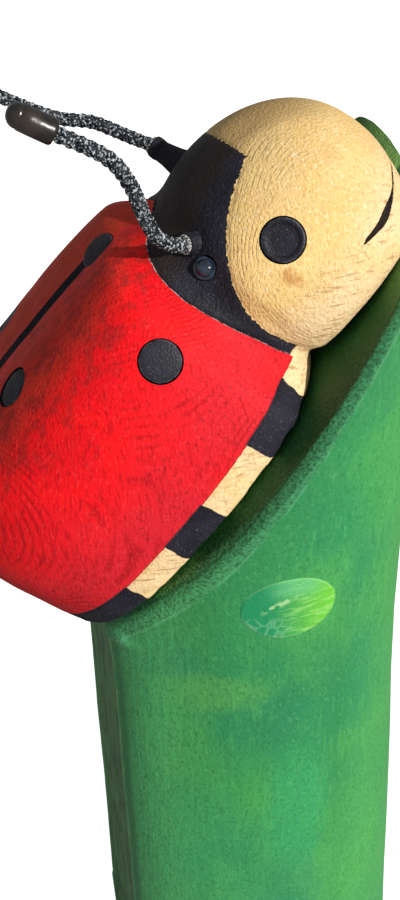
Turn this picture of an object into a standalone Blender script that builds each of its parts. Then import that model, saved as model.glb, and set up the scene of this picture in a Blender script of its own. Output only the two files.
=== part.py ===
"""A ladybird carved in wood, climbing a leaf-green post. Metres, +Z up.

The post stands at the origin with its front to -Y. The ladybird is modelled level in a frame of its own,
X to its head, Y to its left and Z up through its back, and an empty tilts that frame on to the leaf.
"""

import math

import bmesh
import bpy
from mathutils import Matrix, Vector

GAP = 0.0003

# The post: a round trunk that widens to its foot, sawn off by the sloping leaf
CLIMB = math.radians(50)
SEAT = Vector((-0.018, 0, 0.820))
TRUNK_RADIUS = 0.1657
TRUNK_WIDENING = 0.0445
WIDENING_START = 0.606
TWIST_START = 0.680
ARRIS_TWIST = math.radians(33.5)
FLAT_NARROWING = 0.0172
ARRIS_ANGLE = math.radians(220)
ARRIS_RISE = 0.007
ARRIS_SPREAD = math.radians(25)
FLAT_ANGLE = math.radians(189.1)
FLAT_DISTANCE = 0.1499
TRUNK_SIDES = 52
TRUNK_LEVELS = 6
LEAF_EDGE = 0.010
LEAF_RINGS = (0.94, 0.86, 0.76, 0.6, 0.35)
LEAF_FLAT = 0.112
LEAF_DROOP = 3.2
CURL_ANGLE = math.radians(50)
CURL_START = 0.118
CURL_RISE = 39
CURL_ZONE = (0.08, 0.13)

# The shell, with the rim band round its foot
BODY_MIDDLE = -0.080
RIM_HEIGHT = 0.032
RIM_SLOPE = 0.006
RIM_SQUARENESS = 9.0
TAIL_LIFT = 0.011
TAIL_LIFT_ZONE = (0.16, 0.22)
SHELL_HALF_WIDTH = 0.155
SHELL_REAR = 0.154
SHELL_FRONT = 0.250
SHELL_TOP = 0.199
SHELL_FALL = 0.007
SHELL_PLAN_POWERS = (2.1, 2.4)
SHELL_PROFILE_POWERS = (3.0, 7.0)
SHELL_SQUARENESS = 3.4
VALLEY_DEPTH = 0.003
VALLEY_WIDTH = 0.030
MIDLINE = -0.009
GROOVE_DEPTH = 0.004
GROOVE_HALF_WIDTH = 0.0045
GROOVE_FLOOR = 0.0009

# The head, and the collar that joins it to the shell
HEAD_MIDDLE = 0.171
HEAD_LEVEL = 0.0817
HEAD_FRONT = 0.1163
HEAD_REAR = 0.1165
HEAD_HALF_WIDTH = 0.104
HEAD_RISE = 0.0948
HEAD_DEPTH = 0.120
HEAD_PLAN_POWERS = (1.8, 2.1)
HEAD_SQUARENESS = 1.85
JAW_SQUARENESS = 3.8
NECK_PINCH = 2.8
NECK_PLACE = 0.129
NECK_LENGTH = 0.012
COLLAR_BLEND = (0.088, 0.156)
RING_SIDES = 36
RING_CROWDING = 0.16
STATIONS = 33
FIRST_STATION, LAST_STATION = 0.035, 0.970

# Where the colours meet: the wing cases end at one plane, and the face is a round patch on each side
WING_EDGE = 0.124
CHEEK_EDGE = 0.134
CHEEK_CENTRE = (0.225, 0.062)
CHEEK_RADIUS = 0.0915
CHEEK_SIDES = 64
HOOD_EDGE = 0.217

# The round inlays: the place on the surface, and the direction that each one faces
SPOT_RADIUS = 0.0170
SPOT_THICKNESS = 0.006
SPOT_SINK = 0.0012
SPOT_CROWN = 0.0010
SPOT_CHAMFER = 0.0010
INLAY_CLEARANCE = 0.0010
SPOTS = {
    "spot_middle": ((0.080, -0.009, 0.1905), (0.15, -0.27, 1.0)),
    "spot_flank_right": ((0.0757, -0.1233, 0.1298), (0.34, -0.90, 0.25)),
    "spot_flank_left": ((0.0757, 0.1233, 0.1298), (0.34, 0.90, 0.25)),
    "spot_back_right": ((-0.036, -0.073, 0.1945), (0.02, -0.16, 0.99)),
    "spot_back_left": ((-0.054, 0.066, 0.1955), (0.01, 0.12, 0.99)),
    "spot_rear_right": ((-0.1812, -0.0850, 0.1627), (-0.56, -0.52, 0.64)),
    "spot_rear_left": ((-0.1755, 0.0872, 0.1660), (-0.56, 0.52, 0.64)),
}
EYE_PLACE = (0.2005, 0.0952, 0.1068)
EYE_FACING = (0.16, 0.90, 0.38)
EYE_RADIUS = 0.0170
EYE_THICKNESS = 0.008
EYE_SINK = 0.0004
EYE_DISH = 0.0012
EYE_RIM = 0.0035
SCREW_PLACE = (0.143, 0.079, 0.134)
SCREW_FACING = (0.25, 0.82, 0.51)
SCREW_RADIUS = 0.007
SCREW_FLANGE = 0.0095
SCREW_SET = 0.004
SCREW_COLLAR = 0.0012
SCREW_DOME = 0.005
SCREW_SIDES = 16

# The feelers: stiff braided rope set in carved bosses, each ending in a cap
ROPE_RADIUS = 0.0062
ROPE_CLEARANCE = 0.0006
ROPE_SET = 0.007
BOSS_RADII = (0.021, 0.0130, 0.0098)
BOSS_LIP = 0.001
BOSS_RIGHT = ((0.158, -0.052, 0.134), (0.146, -0.067, 0.154))
BOSS_LEFT = ((0.166, 0.050, 0.135), (0.157, 0.074, 0.184))
FEELER_RIGHT = (
    (0.1425, -0.0765, 0.1655),
    (0.1435, -0.0835, 0.1810),
    (0.1525, -0.0890, 0.2000),
    (0.1680, -0.0945, 0.2240),
    (0.1755, -0.0970, 0.2500),
    (0.1690, -0.0980, 0.2890),
)
FEELER_LEFT = (
    (0.1500, 0.0805, 0.2015),
    (0.1435, 0.0865, 0.2210),
    (0.1380, 0.0890, 0.2360),
    (0.1240, 0.0920, 0.2580),
    (0.1150, 0.0950, 0.2820),
    (0.1040, 0.0970, 0.3280),
)
CAP_RADIUS = 0.0098
CAP_LENGTH = 0.036
CAP_SIDES = 18

ROUND_SIDES = 24
SMOOTH_ANGLE = math.radians(40)


def clear_scene():
    for obj in list(bpy.data.objects):
        bpy.data.objects.remove(obj)


def paint(name, colour, roughness):
    material = bpy.data.materials.new(name)
    material.use_nodes = True
    shader = material.node_tree.nodes["Principled BSDF"]
    shader.inputs["Base Color"].default_value = (*colour, 1)
    shader.inputs["Roughness"].default_value = roughness
    return material


def add(name, bm, material=None, parent=None):
    bmesh.ops.recalc_face_normals(bm, faces=bm.faces)
    mesh = bpy.data.meshes.new(name)
    bm.to_mesh(mesh)
    bm.free()
    mesh.shade_smooth()
    mesh.set_sharp_from_angle(angle=SMOOTH_ANGLE)
    mesh.materials.append(material)
    obj = bpy.data.objects.new(name, mesh)
    obj.parent = parent
    bpy.context.collection.objects.link(obj)
    return obj


def tool(name, bm, parent=None):
    """A cutter: it shapes other objects and isn't part of the object itself."""
    obj = add(name, bm, parent=parent)
    obj.hide_render = True
    obj.display_type = "WIRE"
    return obj


def boolean(obj, other, operation):
    modifier = obj.modifiers.new(other.name, "BOOLEAN")
    modifier.operation = operation
    modifier.object = other
    modifier.solver = "EXACT"


def loft(rings, tip=None):
    """A closed skin over rings of points, flat at its start, and flat or pointed at its end."""
    bm = bmesh.new()
    loops = [[bm.verts.new(point) for point in ring] for ring in rings]
    count = len(loops[0])
    for lower, upper in zip(loops, loops[1:]):
        for i in range(count):
            j = (i + 1) % count
            bm.faces.new((lower[i], lower[j], upper[j], upper[i]))
    bm.faces.new(loops[0])
    if tip is None:
        bm.faces.new(loops[-1])
        return bm
    point = bm.verts.new(tip)
    for i in range(count):
        bm.faces.new((loops[-1][i], loops[-1][(i + 1) % count], point))
    return bm


def block(low, high):
    bm = bmesh.new()
    bmesh.ops.create_cube(bm, size=1)
    low, high = Vector(low), Vector(high)
    bmesh.ops.scale(bm, verts=bm.verts, vec=high - low)
    bmesh.ops.translate(bm, verts=bm.verts, vec=(low + high) / 2)
    return bm


def slant(bm, level):
    """Lets a block's face at a level sink towards the tail, as the rim's upper edge does."""
    for vert in bm.verts:
        if abs(vert.co.z - level) < 1e-6:
            vert.co.z -= RIM_SLOPE * (WING_EDGE - vert.co.x)
    return bm


def turned(profile, sides=ROUND_SIDES):
    """A round piece from (radius, height) pairs, foot first; the last pair may lie on the axis."""
    tip = None
    if profile[-1][0] == 0:
        tip = (0, 0, profile[-1][1])
        profile = profile[:-1]
    rings = []
    for radius, height in profile:
        turn = [2 * math.pi * i / sides for i in range(sides)]
        rings.append([(radius * math.cos(a), radius * math.sin(a), height) for a in turn])
    return loft(rings, tip)


def facing(place, direction):
    """The matrix that stands a turned piece at a place with its axis along a direction."""
    turn = Vector(direction).normalized().to_track_quat("Z", "Y")
    return Matrix.Translation(place) @ turn.to_matrix().to_4x4()


def smooth_step(value, start, end):
    fraction = min(1.0, max(0.0, (value - start) / (end - start)))
    return fraction * fraction * (3 - 2 * fraction)


def oval(along, power):
    """Half width of a rounded outline at a fraction of its half length."""
    return max(0.0, 1 - abs(along) ** power) ** (1 / power)


def trunk_radius(angle, height):
    below = max(0.0, TWIST_START - height)
    spread = (angle - ARRIS_ANGLE - ARRIS_TWIST * below) / ARRIS_SPREAD
    radius = TRUNK_RADIUS + ARRIS_RISE * math.exp(-spread * spread)
    towards_flat = math.cos(angle - FLAT_ANGLE)
    if towards_flat > 0:
        radius = min(radius, (FLAT_DISTANCE - FLAT_NARROWING * below) / towards_flat)
    return radius + TRUNK_WIDENING * max(0.0, WIDENING_START - height)


def leaf_height(x, y):
    """Level of the leaf's face at a plan point: flat, drooping at its sides, curled up at its tip."""
    droop = LEAF_DROOP * max(0.0, abs(y) - LEAF_FLAT) ** 2
    reach = x * math.cos(CURL_ANGLE) + y * math.sin(CURL_ANGLE)
    curl = CURL_RISE * max(0.0, reach - CURL_START) ** 2 * smooth_step(x, *CURL_ZONE)
    slope = SEAT.z + math.tan(CLIMB) * (x - SEAT.x)
    return slope - (GAP + droop) / math.cos(CLIMB) + curl


def leaf_post(material):
    angles = [2 * math.pi * i / TRUNK_SIDES for i in range(TRUNK_SIDES)]
    rings = []
    for level in range(TRUNK_LEVELS + 1):
        ring = []
        for angle in angles:
            edge = trunk_radius(angle, SEAT.z)
            top = leaf_height(edge * math.cos(angle), edge * math.sin(angle)) - LEAF_EDGE
            height = top * level / TRUNK_LEVELS
            radius = trunk_radius(angle, height)
            ring.append((radius * math.cos(angle), radius * math.sin(angle), height))
        rings.append(ring)
    for inset in LEAF_RINGS:
        ring = []
        for angle in angles:
            radius = trunk_radius(angle, SEAT.z) * inset
            x, y = radius * math.cos(angle), radius * math.sin(angle)
            ring.append((x, y, leaf_height(x, y)))
        rings.append(ring)
    return add("leaf_post", loft(rings, tip=(0, 0, leaf_height(0, 0))), material)


def shell_section(x):
    """Half width, level of the widest line, foot and top of the shell at a station."""
    along = x - BODY_MIDDLE
    if along < 0:
        half = SHELL_HALF_WIDTH * oval(along / SHELL_REAR, SHELL_PLAN_POWERS[0])
        rise = (SHELL_TOP - RIM_HEIGHT) * oval(along / SHELL_REAR, SHELL_PROFILE_POWERS[0])
    else:
        half = SHELL_HALF_WIDTH * oval(along / SHELL_FRONT, SHELL_PLAN_POWERS[1])
        rise = SHELL_TOP - RIM_HEIGHT - SHELL_FALL * (along / 0.2) ** 2
        rise *= oval(along / SHELL_FRONT, SHELL_PROFILE_POWERS[1])
    foot = TAIL_LIFT * smooth_step(-x, *TAIL_LIFT_ZONE)
    return half, RIM_HEIGHT, foot, RIM_HEIGHT + rise


def head_section(x):
    along = x - HEAD_MIDDLE
    if along < 0:
        reach = oval(along / HEAD_REAR, HEAD_PLAN_POWERS[0])
    else:
        reach = oval(along / HEAD_FRONT, HEAD_PLAN_POWERS[1])
    foot = max(0.0, HEAD_LEVEL - HEAD_DEPTH * reach)
    return HEAD_HALF_WIDTH * reach, HEAD_LEVEL, foot, HEAD_LEVEL + HEAD_RISE * reach


def carving_ring(x):
    """One cross-section of shell, collar and head as a closed ring."""
    blend = smooth_step(x, *COLLAR_BLEND)
    pairs = zip(shell_section(x), head_section(x))
    half, level, foot, top = [shell + blend * (head - shell) for shell, head in pairs]
    upper = SHELL_SQUARENESS + blend * (HEAD_SQUARENESS - SHELL_SQUARENESS)
    lower = RIM_SQUARENESS + blend * (JAW_SQUARENESS - RIM_SQUARENESS)
    lower -= NECK_PINCH * math.exp(-(((x - NECK_PLACE) / NECK_LENGTH) ** 2))
    points = []
    for i in range(RING_SIDES):
        angle = 2 * math.pi * (i + 0.5) / RING_SIDES
        angle -= RING_CROWDING * math.sin(4 * angle)
        side, lift = math.cos(angle), math.sin(angle)
        power, reach = (upper, top - level) if lift > 0 else (lower, level - foot)
        y = half * math.copysign(abs(side) ** (2 / power), side)
        z = level + reach * math.copysign(abs(lift) ** (2 / power), lift)
        if lift > 0:
            z -= VALLEY_DEPTH * (1 - blend) * math.exp(-(((y - MIDLINE) / VALLEY_WIDTH) ** 2)) * lift
        points.append((x, y, z))
    return points


def carving():
    """The whole ladybird as one closed skin, from its tail to its face."""
    tail = BODY_MIDDLE - SHELL_REAR
    face = HEAD_MIDDLE + HEAD_FRONT
    rings = []
    for i in range(STATIONS + 1):
        share = FIRST_STATION + (LAST_STATION - FIRST_STATION) * i / STATIONS
        rings.append(carving_ring((tail + face) / 2 - (face - tail) / 2 * math.cos(math.pi * share)))
    return loft(rings, tip=(face, 0, HEAD_LEVEL))


def cylinder_between(low, high, radius, sides=ROUND_SIDES):
    """A plain rod from one point to another."""
    low, high = Vector(low), Vector(high)
    bm = turned(((radius, 0), (radius, (high - low).length)), sides)
    bmesh.ops.transform(bm, matrix=facing(low, high - low), verts=bm.verts)
    return bm


def groove_cutter(perch):
    """A V along the midline, from the middle spot to the tail, following the back."""
    tail = BODY_MIDDLE - SHELL_REAR + GROOVE_DEPTH
    front = SPOTS["spot_middle"][0][0]
    cuts = 20
    rings = []
    for i in range(cuts + 1):
        x = tail + (front - tail) * i / cuts
        top = shell_section(x)[3] - VALLEY_DEPTH
        low, high = top - GROOVE_DEPTH, top + GROOVE_DEPTH
        wide = GROOVE_HALF_WIDTH * 2
        section = ((-GROOVE_FLOOR, low), (GROOVE_FLOOR, low), (wide, high), (-wide, high))
        rings.append([(x, MIDLINE + side, level) for side, level in section])
    return tool("groove_cutter", loft(rings), perch)


def behind_face(name, start, foot, shrink, perch):
    """The zone behind the face patches, with their round edges, from a station and a level upwards."""
    zone = tool(name, block((start, -0.2, foot), (HOOD_EDGE - shrink, 0.2, 0.3)), perch)
    x, z = CHEEK_CENTRE
    cheek = cylinder_between((x, -0.3, z), (x, 0.3, z), CHEEK_RADIUS + shrink, CHEEK_SIDES)
    cheek = tool(name + "_cheek", cheek, perch)
    boolean(zone, cheek, "DIFFERENCE")
    throat = tool(name + "_throat", block((CHEEK_EDGE - shrink, -0.3, -0.3), (0.4, 0.3, z)), perch)
    boolean(zone, throat, "DIFFERENCE")
    return zone


def inlay_seat(place, direction, radius, depth):
    """The round pocket that an inlay sits in."""
    matrix = facing(place, direction)
    bm = turned(((radius + INLAY_CLEARANCE, -depth - GAP), (radius + INLAY_CLEARANCE, 0.04)))
    bmesh.ops.transform(bm, matrix=matrix, verts=bm.verts)
    return bm


def inlay(name, profile, place, direction, material, perch, sides=ROUND_SIDES):
    bm = turned(profile, sides)
    bmesh.ops.transform(bm, matrix=facing(place, direction), verts=bm.verts)
    return add(name, bm, material, perch)


def spot_profile():
    top = -SPOT_SINK
    return (
        (SPOT_RADIUS, top - SPOT_THICKNESS),
        (SPOT_RADIUS, top - SPOT_CHAMFER),
        (SPOT_RADIUS - SPOT_CHAMFER, top),
        (0, top + SPOT_CROWN),
    )


def eye_profile():
    top = -EYE_SINK
    return (
        (EYE_RADIUS, top - EYE_THICKNESS),
        (EYE_RADIUS, top - SPOT_CHAMFER),
        (EYE_RADIUS - SPOT_CHAMFER, top),
        (EYE_RADIUS - EYE_RIM, top),
        (EYE_RADIUS - EYE_RIM - EYE_DISH, top - EYE_DISH),
        (0, top - EYE_DISH),
    )


def screw_profile():
    points = [(SCREW_FLANGE, -SCREW_SET), (SCREW_FLANGE, SCREW_COLLAR / 2), (SCREW_RADIUS, SCREW_COLLAR)]
    for step in range(1, 4):
        angle = math.radians(90 * step / 4)
        points.append((SCREW_RADIUS * math.cos(angle), SCREW_COLLAR + SCREW_DOME * math.sin(angle)))
    return points + [(0, SCREW_COLLAR + SCREW_DOME)]


def cap_profile():
    """A cap drawn along its axis from the rope to its domed end."""
    corner = CAP_RADIUS * 0.8
    points = [(CAP_RADIUS - 0.0015, 0), (CAP_RADIUS, 0.0015), (CAP_RADIUS, CAP_LENGTH - corner)]
    for step in range(1, 4):
        angle = math.radians(90 * step / 4)
        radius = CAP_RADIUS * 0.2 + CAP_RADIUS * 0.8 * math.cos(angle)
        points.append((radius, CAP_LENGTH - corner + corner * math.sin(angle)))
    return points + [(0, CAP_LENGTH)]


def boss(name, ends, perch):
    """A carved stub that a feeler is set in, wide where it grows out of the collar."""
    foot, top = Vector(ends[0]), Vector(ends[1])
    length = (top - foot).length
    low, middle, high = BOSS_RADII
    profile = [(low, 0), (middle, length * 0.45), (high, length * 0.8)]
    profile += [(high, length - BOSS_LIP), (high - BOSS_LIP, length)]
    bm = turned(profile)
    bmesh.ops.transform(bm, matrix=facing(foot, top - foot), verts=bm.verts)
    return tool(name, bm, perch)


def smooth_route(points, steps=3):
    """Points along one smooth curve through the given ones."""
    points = [Vector(point) for point in points]
    padded = [2 * points[0] - points[1], *points, 2 * points[-1] - points[-2]]
    route = []
    for before, start, end, after in zip(padded, padded[1:], padded[2:], padded[3:]):
        for step in range(steps):
            t = step / steps
            route.append(
                0.5 * (2 * start + (end - before) * t + (2 * before - 5 * start + 4 * end - after) * t * t
                       + (3 * start - before - 3 * end + after) * t ** 3)
            )
    return route + [points[-1]]


def feeler(side, boss_ends, points, materials, perch):
    """The rope from inside its boss to its cap, and the cap."""
    foot, top = Vector(boss_ends[0]), Vector(boss_ends[1])
    start = top - (top - foot).normalized() * ROPE_SET
    route = [start, *smooth_route((top, *points))]
    curve = bpy.data.curves.new("feeler_" + side, "CURVE")
    curve.dimensions = "3D"
    curve.bevel_depth = ROPE_RADIUS
    curve.bevel_resolution = 3
    curve.use_fill_caps = True
    spline = curve.splines.new("POLY")
    spline.points.add(len(route) - 1)
    for target, point in zip(spline.points, route):
        target.co = (*point, 1)
    curve.materials.append(materials[0])
    rope = bpy.data.objects.new("feeler_" + side, curve)
    rope.parent = perch
    bpy.context.collection.objects.link(rope)
    along = (route[-1] - route[-2]).normalized()
    inlay("cap_" + side, cap_profile(), route[-1] + along * GAP, along, materials[1], perch, CAP_SIDES)


def rope_hole(name, boss_ends, perch):
    foot, top = Vector(boss_ends[0]), Vector(boss_ends[1])
    axis = (top - foot).normalized()
    rod = cylinder_between(top - axis * (ROPE_SET + GAP), top + axis * 0.01, ROPE_RADIUS + ROPE_CLEARANCE)
    return tool(name, rod, perch)


clear_scene()
perch = bpy.data.objects.new("perch", None)
bpy.context.collection.objects.link(perch)
perch.location = SEAT
perch.rotation_euler = (0, -CLIMB, 0)

GREEN = paint("leaf_green", (0.10, 0.30, 0.06), 0.5)
RED = paint("shell_red", (0.60, 0.02, 0.02), 0.45)
CREAM = paint("face_cream", (0.65, 0.50, 0.28), 0.6)
STRIPES = paint("rim_stripes", (0.40, 0.32, 0.20), 0.6)
BLACK = paint("charcoal", (0.02, 0.02, 0.03), 0.5)
SHINE = paint("black_gloss", (0.01, 0.01, 0.012), 0.2)
ROPE = paint("braided_rope", (0.12, 0.12, 0.13), 0.8)

leaf_post(GREEN)

# The carving is one shape, cut into its parts with thin gaps
rim_zone = slant(block((-0.4, -0.3, -0.1), (CHEEK_EDGE - GAP, 0.3, RIM_HEIGHT)), RIM_HEIGHT)
rim_zone = tool("rim_zone", rim_zone, perch)
foot = RIM_HEIGHT + GAP
right_zone = slant(block((-0.4, -0.3, foot), (WING_EDGE, MIDLINE - GAP / 2, 0.3)), foot)
right_zone = tool("right_zone", right_zone, perch)
left_zone = slant(block((-0.4, MIDLINE + GAP / 2, foot), (WING_EDGE, 0.3, 0.3)), foot)
left_zone = tool("left_zone", left_zone, perch)
collar_zone = behind_face("collar_zone", WING_EDGE + GAP, foot + GAP, GAP, perch)
face_cut = behind_face("face_cut", -0.4, -0.2, 0, perch)
groove = groove_cutter(perch)
boolean(right_zone, groove, "DIFFERENCE")
boolean(left_zone, groove, "DIFFERENCE")

for name, (place, direction) in SPOTS.items():
    seat = inlay_seat(place, direction, SPOT_RADIUS, SPOT_THICKNESS + SPOT_SINK)
    seat = tool(name + "_seat", seat, perch)
    for zone in (right_zone, left_zone):
        if name == "spot_middle" or zone.name.split("_")[0] == name.split("_")[-1]:
            boolean(zone, seat, "DIFFERENCE")
    inlay(name, spot_profile(), place, direction, BLACK, perch)

abdomen = add("abdomen", carving(), STRIPES, perch)
boolean(abdomen, rim_zone, "INTERSECT")
right_wing = add("elytron_right", carving(), RED, perch)
boolean(right_wing, right_zone, "INTERSECT")
left_wing = add("elytron_left", carving(), RED, perch)
boolean(left_wing, left_zone, "INTERSECT")
pronotum = add("pronotum", carving(), BLACK, perch)
head = add("head", carving(), CREAM, perch)
boolean(head, face_cut, "DIFFERENCE")

for side, hand, ends, points in (
    ("right", -1, BOSS_RIGHT, FEELER_RIGHT),
    ("left", 1, BOSS_LEFT, FEELER_LEFT),
):
    mirror = Vector((1, hand, 1))
    place, direction = Vector(EYE_PLACE) * mirror, Vector(EYE_FACING) * mirror
    seat = inlay_seat(place, direction, EYE_RADIUS, EYE_THICKNESS + EYE_SINK)
    boolean(head, tool("eye_seat_" + side, seat, perch), "DIFFERENCE")
    inlay("eye_" + side, eye_profile(), place, direction, BLACK, perch)
    place, direction = Vector(SCREW_PLACE) * mirror, Vector(SCREW_FACING) * mirror
    seat = inlay_seat(place, direction, SCREW_FLANGE - INLAY_CLEARANCE + GAP, SCREW_SET)
    boolean(collar_zone, tool("screw_seat_" + side, seat, perch), "DIFFERENCE")
    boolean(pronotum, boss("boss_" + side, ends, perch), "UNION")
    boolean(pronotum, rope_hole("rope_hole_" + side, ends, perch), "DIFFERENCE")
    inlay("screw_" + side, screw_profile(), place, direction, SHINE, perch, SCREW_SIDES)
    feeler(side, ends, points, (ROPE, SHINE), perch)

boolean(pronotum, collar_zone, "INTERSECT")
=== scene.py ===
import math

import bmesh
import bpy
import numpy as np
from mathutils import Matrix, Vector, noise


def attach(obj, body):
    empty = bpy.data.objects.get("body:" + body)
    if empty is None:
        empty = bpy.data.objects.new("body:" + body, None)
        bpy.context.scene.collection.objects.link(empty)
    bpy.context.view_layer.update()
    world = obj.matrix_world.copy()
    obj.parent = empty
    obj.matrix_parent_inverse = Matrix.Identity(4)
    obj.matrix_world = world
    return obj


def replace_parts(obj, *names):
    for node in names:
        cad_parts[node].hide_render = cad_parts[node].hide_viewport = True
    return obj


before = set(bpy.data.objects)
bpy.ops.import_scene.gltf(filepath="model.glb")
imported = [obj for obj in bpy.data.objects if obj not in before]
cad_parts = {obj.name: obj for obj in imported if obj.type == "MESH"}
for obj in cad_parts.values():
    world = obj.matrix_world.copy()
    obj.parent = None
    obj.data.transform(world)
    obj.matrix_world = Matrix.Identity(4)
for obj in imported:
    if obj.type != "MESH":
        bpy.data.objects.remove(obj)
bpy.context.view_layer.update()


# ---- Studio ----
# A pale seamless floor, one key lamp high on the front right as in late morning, and an even pale sky.
# The camera stands in front and above, tilted down on to the figure, with a short telephoto lens.
KEY_FROM = Vector((0.62, -0.67, 0.42))
CAMERA_PLACE = Vector((-0.0913, -0.8467, 1.4000))
CAMERA_LOOKS = Vector((0.05613, 0.80813, -0.58633))
CAMERA_UP = Vector((0.07841, 0.58187, 0.80949))
KEY_STRENGTH, SKY_STRENGTH = 4.1, 0.30
SENSOR_HEIGHT, FOCAL_LENGTH = 36, 44


def added(name, bm, *materials):
    """A new object in the scene, with its materials."""
    mesh = bpy.data.meshes.new(name)
    bm.to_mesh(mesh)
    bm.free()
    for material in materials:
        mesh.materials.append(material)
    thing = bpy.data.objects.new(name, mesh)
    bpy.context.collection.objects.link(thing)
    return thing


def studio_floor():
    """Pale, and as bright as paper to the camera, whatever shadow falls on it."""
    bm = bmesh.new()
    bmesh.ops.create_grid(bm, x_segments=1, y_segments=1, size=30)
    material = bpy.data.materials.new("pale_floor")
    material.use_nodes = True
    tree = material.node_tree
    shader = tree.nodes["Principled BSDF"]
    shader.inputs["Base Color"].default_value = (0.4, 0.4, 0.4, 1)
    shader.inputs["Roughness"].default_value = 1.0
    shader.inputs["Emission Color"].default_value = (1, 1, 1, 1)
    seen = tree.nodes.new("ShaderNodeLightPath")
    tree.links.new(seen.outputs["Is Camera Ray"], shader.inputs["Emission Strength"])
    added("floor", bm, material)


studio_floor()

key_lamp = bpy.data.lights.new("key", "SUN")
key_lamp.energy = KEY_STRENGTH
key_lamp.angle = math.radians(1.5)
key_lamp.color = (1.0, 0.97, 0.91)
key = bpy.data.objects.new("key", key_lamp)
key.rotation_euler = KEY_FROM.to_track_quat("Z", "Y").to_euler()
bpy.context.collection.objects.link(key)

sky = bpy.data.worlds.new("sky")
sky.use_nodes = True
sky.node_tree.nodes["Background"].inputs["Color"].default_value = (0.95, 0.97, 1.0, 1)
sky.node_tree.nodes["Background"].inputs["Strength"].default_value = SKY_STRENGTH
bpy.context.scene.world = sky
bpy.context.scene.view_settings.view_transform = "Standard"

lens = bpy.data.cameras.new("camera")
lens.sensor_fit = "VERTICAL"
lens.sensor_height = SENSOR_HEIGHT
lens.lens = FOCAL_LENGTH
camera = bpy.data.objects.new("camera", lens)
turn = Matrix((CAMERA_LOOKS.cross(CAMERA_UP), CAMERA_UP, -CAMERA_LOOKS)).transposed()
camera.matrix_world = Matrix.Translation(CAMERA_PLACE) @ turn.to_4x4()
bpy.context.collection.objects.link(camera)
bpy.context.scene.camera = camera


# ---- Leaf post ----
# A round log cut to a leaf: one flat side, a long slope on top that curls up at its tip, and a bevel
# around the slope. Sawn, gouged, and painted in greens with a soft brush.
CLIMB = math.radians(50)
SEAT = Vector((-0.018, 0, 0.820))
PERCH = Matrix.Translation(SEAT) @ Matrix.Rotation(-CLIMB, 4, "Y")
TRUNK_RADIUS = 0.1657
WIDENING, WIDENING_START = 0.0445, 0.606
ARRIS_ANGLE, ARRIS_SPREAD, ARRIS_RISE = math.radians(220), math.radians(25), 0.007
ARRIS_TWIST, TWIST_START = math.radians(33.5), 0.680
FLAT_ANGLE, FLAT_DISTANCE, FLAT_NARROWING = math.radians(189.1), 0.1499, 0.0172
LEAF_EDGE, EDGE_ROUNDING = 0.010, 0.06
DROOP, DROOP_START = 3.2, 0.112
CURL, CURL_START, CURL_ZONE = 39, 0.118, (0.08, 0.13)
CUT_GAP, SKIN_SET, STILL_MIDDLE = 0.0003, 0.0003, 0.02
POST_SIDES, SIDE_RINGS, TOP_RINGS = 360, 150, 70

# The ridge beside the flat side, as it is carved and painted, the lip that the saw left above it, and
# how deep the tools cut
RIDGE_ANGLE, RIDGE_TWIST = 218.9, 8.8
RIDGE_PLACE, RIDGE_DRIFT = -0.1475, -0.0254
LIP, LIP_ROUND, LIP_HEIGHT = Vector((-0.121, -0.122, 0.666)), -0.129, 0.668
HOLLOW_DEPTH, STROKE_DEPTH, RIDGE_WEAR, LIP_SWELL = 0.0012, 0.0005, 0.0006, 0.004

# The painted dewdrop: how far round the log and how high, its half length and height, and its tilt
DROP_ROUND, DROP_HEIGHT = 0.030, 0.725
DROP_LONG, DROP_SHORT = 0.0445, 0.0335
DROP_COS, DROP_SIN = 0.99, 0.12

# Soft patches of other greens: how far round the log, how high, half width and height, strength, colour
PATCHES = (
    (0.004, 0.585, 0.040, 0.045, 0.55, (0.020, 0.200, 0.090)),
    (0.055, 0.635, 0.030, 0.050, 0.45, (0.020, 0.190, 0.075)),
    (-0.082, 0.655, 0.028, 0.028, 0.55, (0.022, 0.210, 0.105)),
    (-0.045, 0.620, 0.055, 0.022, 0.50, (0.115, 0.400, 0.085)),
    (0.034, 0.440, 0.030, 0.085, 0.50, (0.026, 0.330, 0.135)),
    (0.105, 0.340, 0.045, 0.110, 0.38, (0.090, 0.410, 0.075)),
    (0.020, 0.300, 0.050, 0.060, 0.50, (0.030, 0.240, 0.105)),
    (-0.060, 0.420, 0.045, 0.080, 0.35, (0.035, 0.300, 0.125)),
)


class Term:
    """A value in a paint's node graph, which is reckoned with like a number."""

    def __init__(self, tree, socket):
        self.tree, self.socket = tree, socket

    def step(self, operation, *others):
        node = self.tree.nodes.new("ShaderNodeMath")
        node.operation = operation
        for socket, value in zip(node.inputs, (self, *others)):
            feed(self.tree, socket, value)
        return Term(self.tree, node.outputs[0])

    def __add__(self, other):
        return self.step("ADD", other)

    def __sub__(self, other):
        return self.step("SUBTRACT", other)

    def __mul__(self, other):
        return self.step("MULTIPLY", other)

    def __truediv__(self, other):
        return self.step("DIVIDE", other)

    def __abs__(self):
        return self.step("ABSOLUTE")

    def __pow__(self, power):
        return self.step("POWER", power)

    def wave(self):
        return self.step("SINE")

    def least(self, other):
        return self.step("MINIMUM", other)

    def most(self, other):
        return self.step("MAXIMUM", other)

    def ramp(self, start, end):
        """0 at the start and 1 at the end, eased between them."""
        node = self.tree.nodes.new("ShaderNodeMapRange")
        node.interpolation_type = "SMOOTHSTEP"
        for name, value in (("Value", self), ("From Min", start), ("From Max", end)):
            feed(self.tree, node.inputs[name], value)
        return Term(self.tree, node.outputs[0])

    def band(self, middle, half, soft):
        """1 within a strip on both sides of the middle, and 0 outside it."""
        return abs(self - middle).ramp(half + soft, half - soft)


def feed(tree, socket, value):
    if isinstance(value, Term):
        tree.links.new(value.socket, socket)
    else:
        socket.default_value = value


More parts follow.
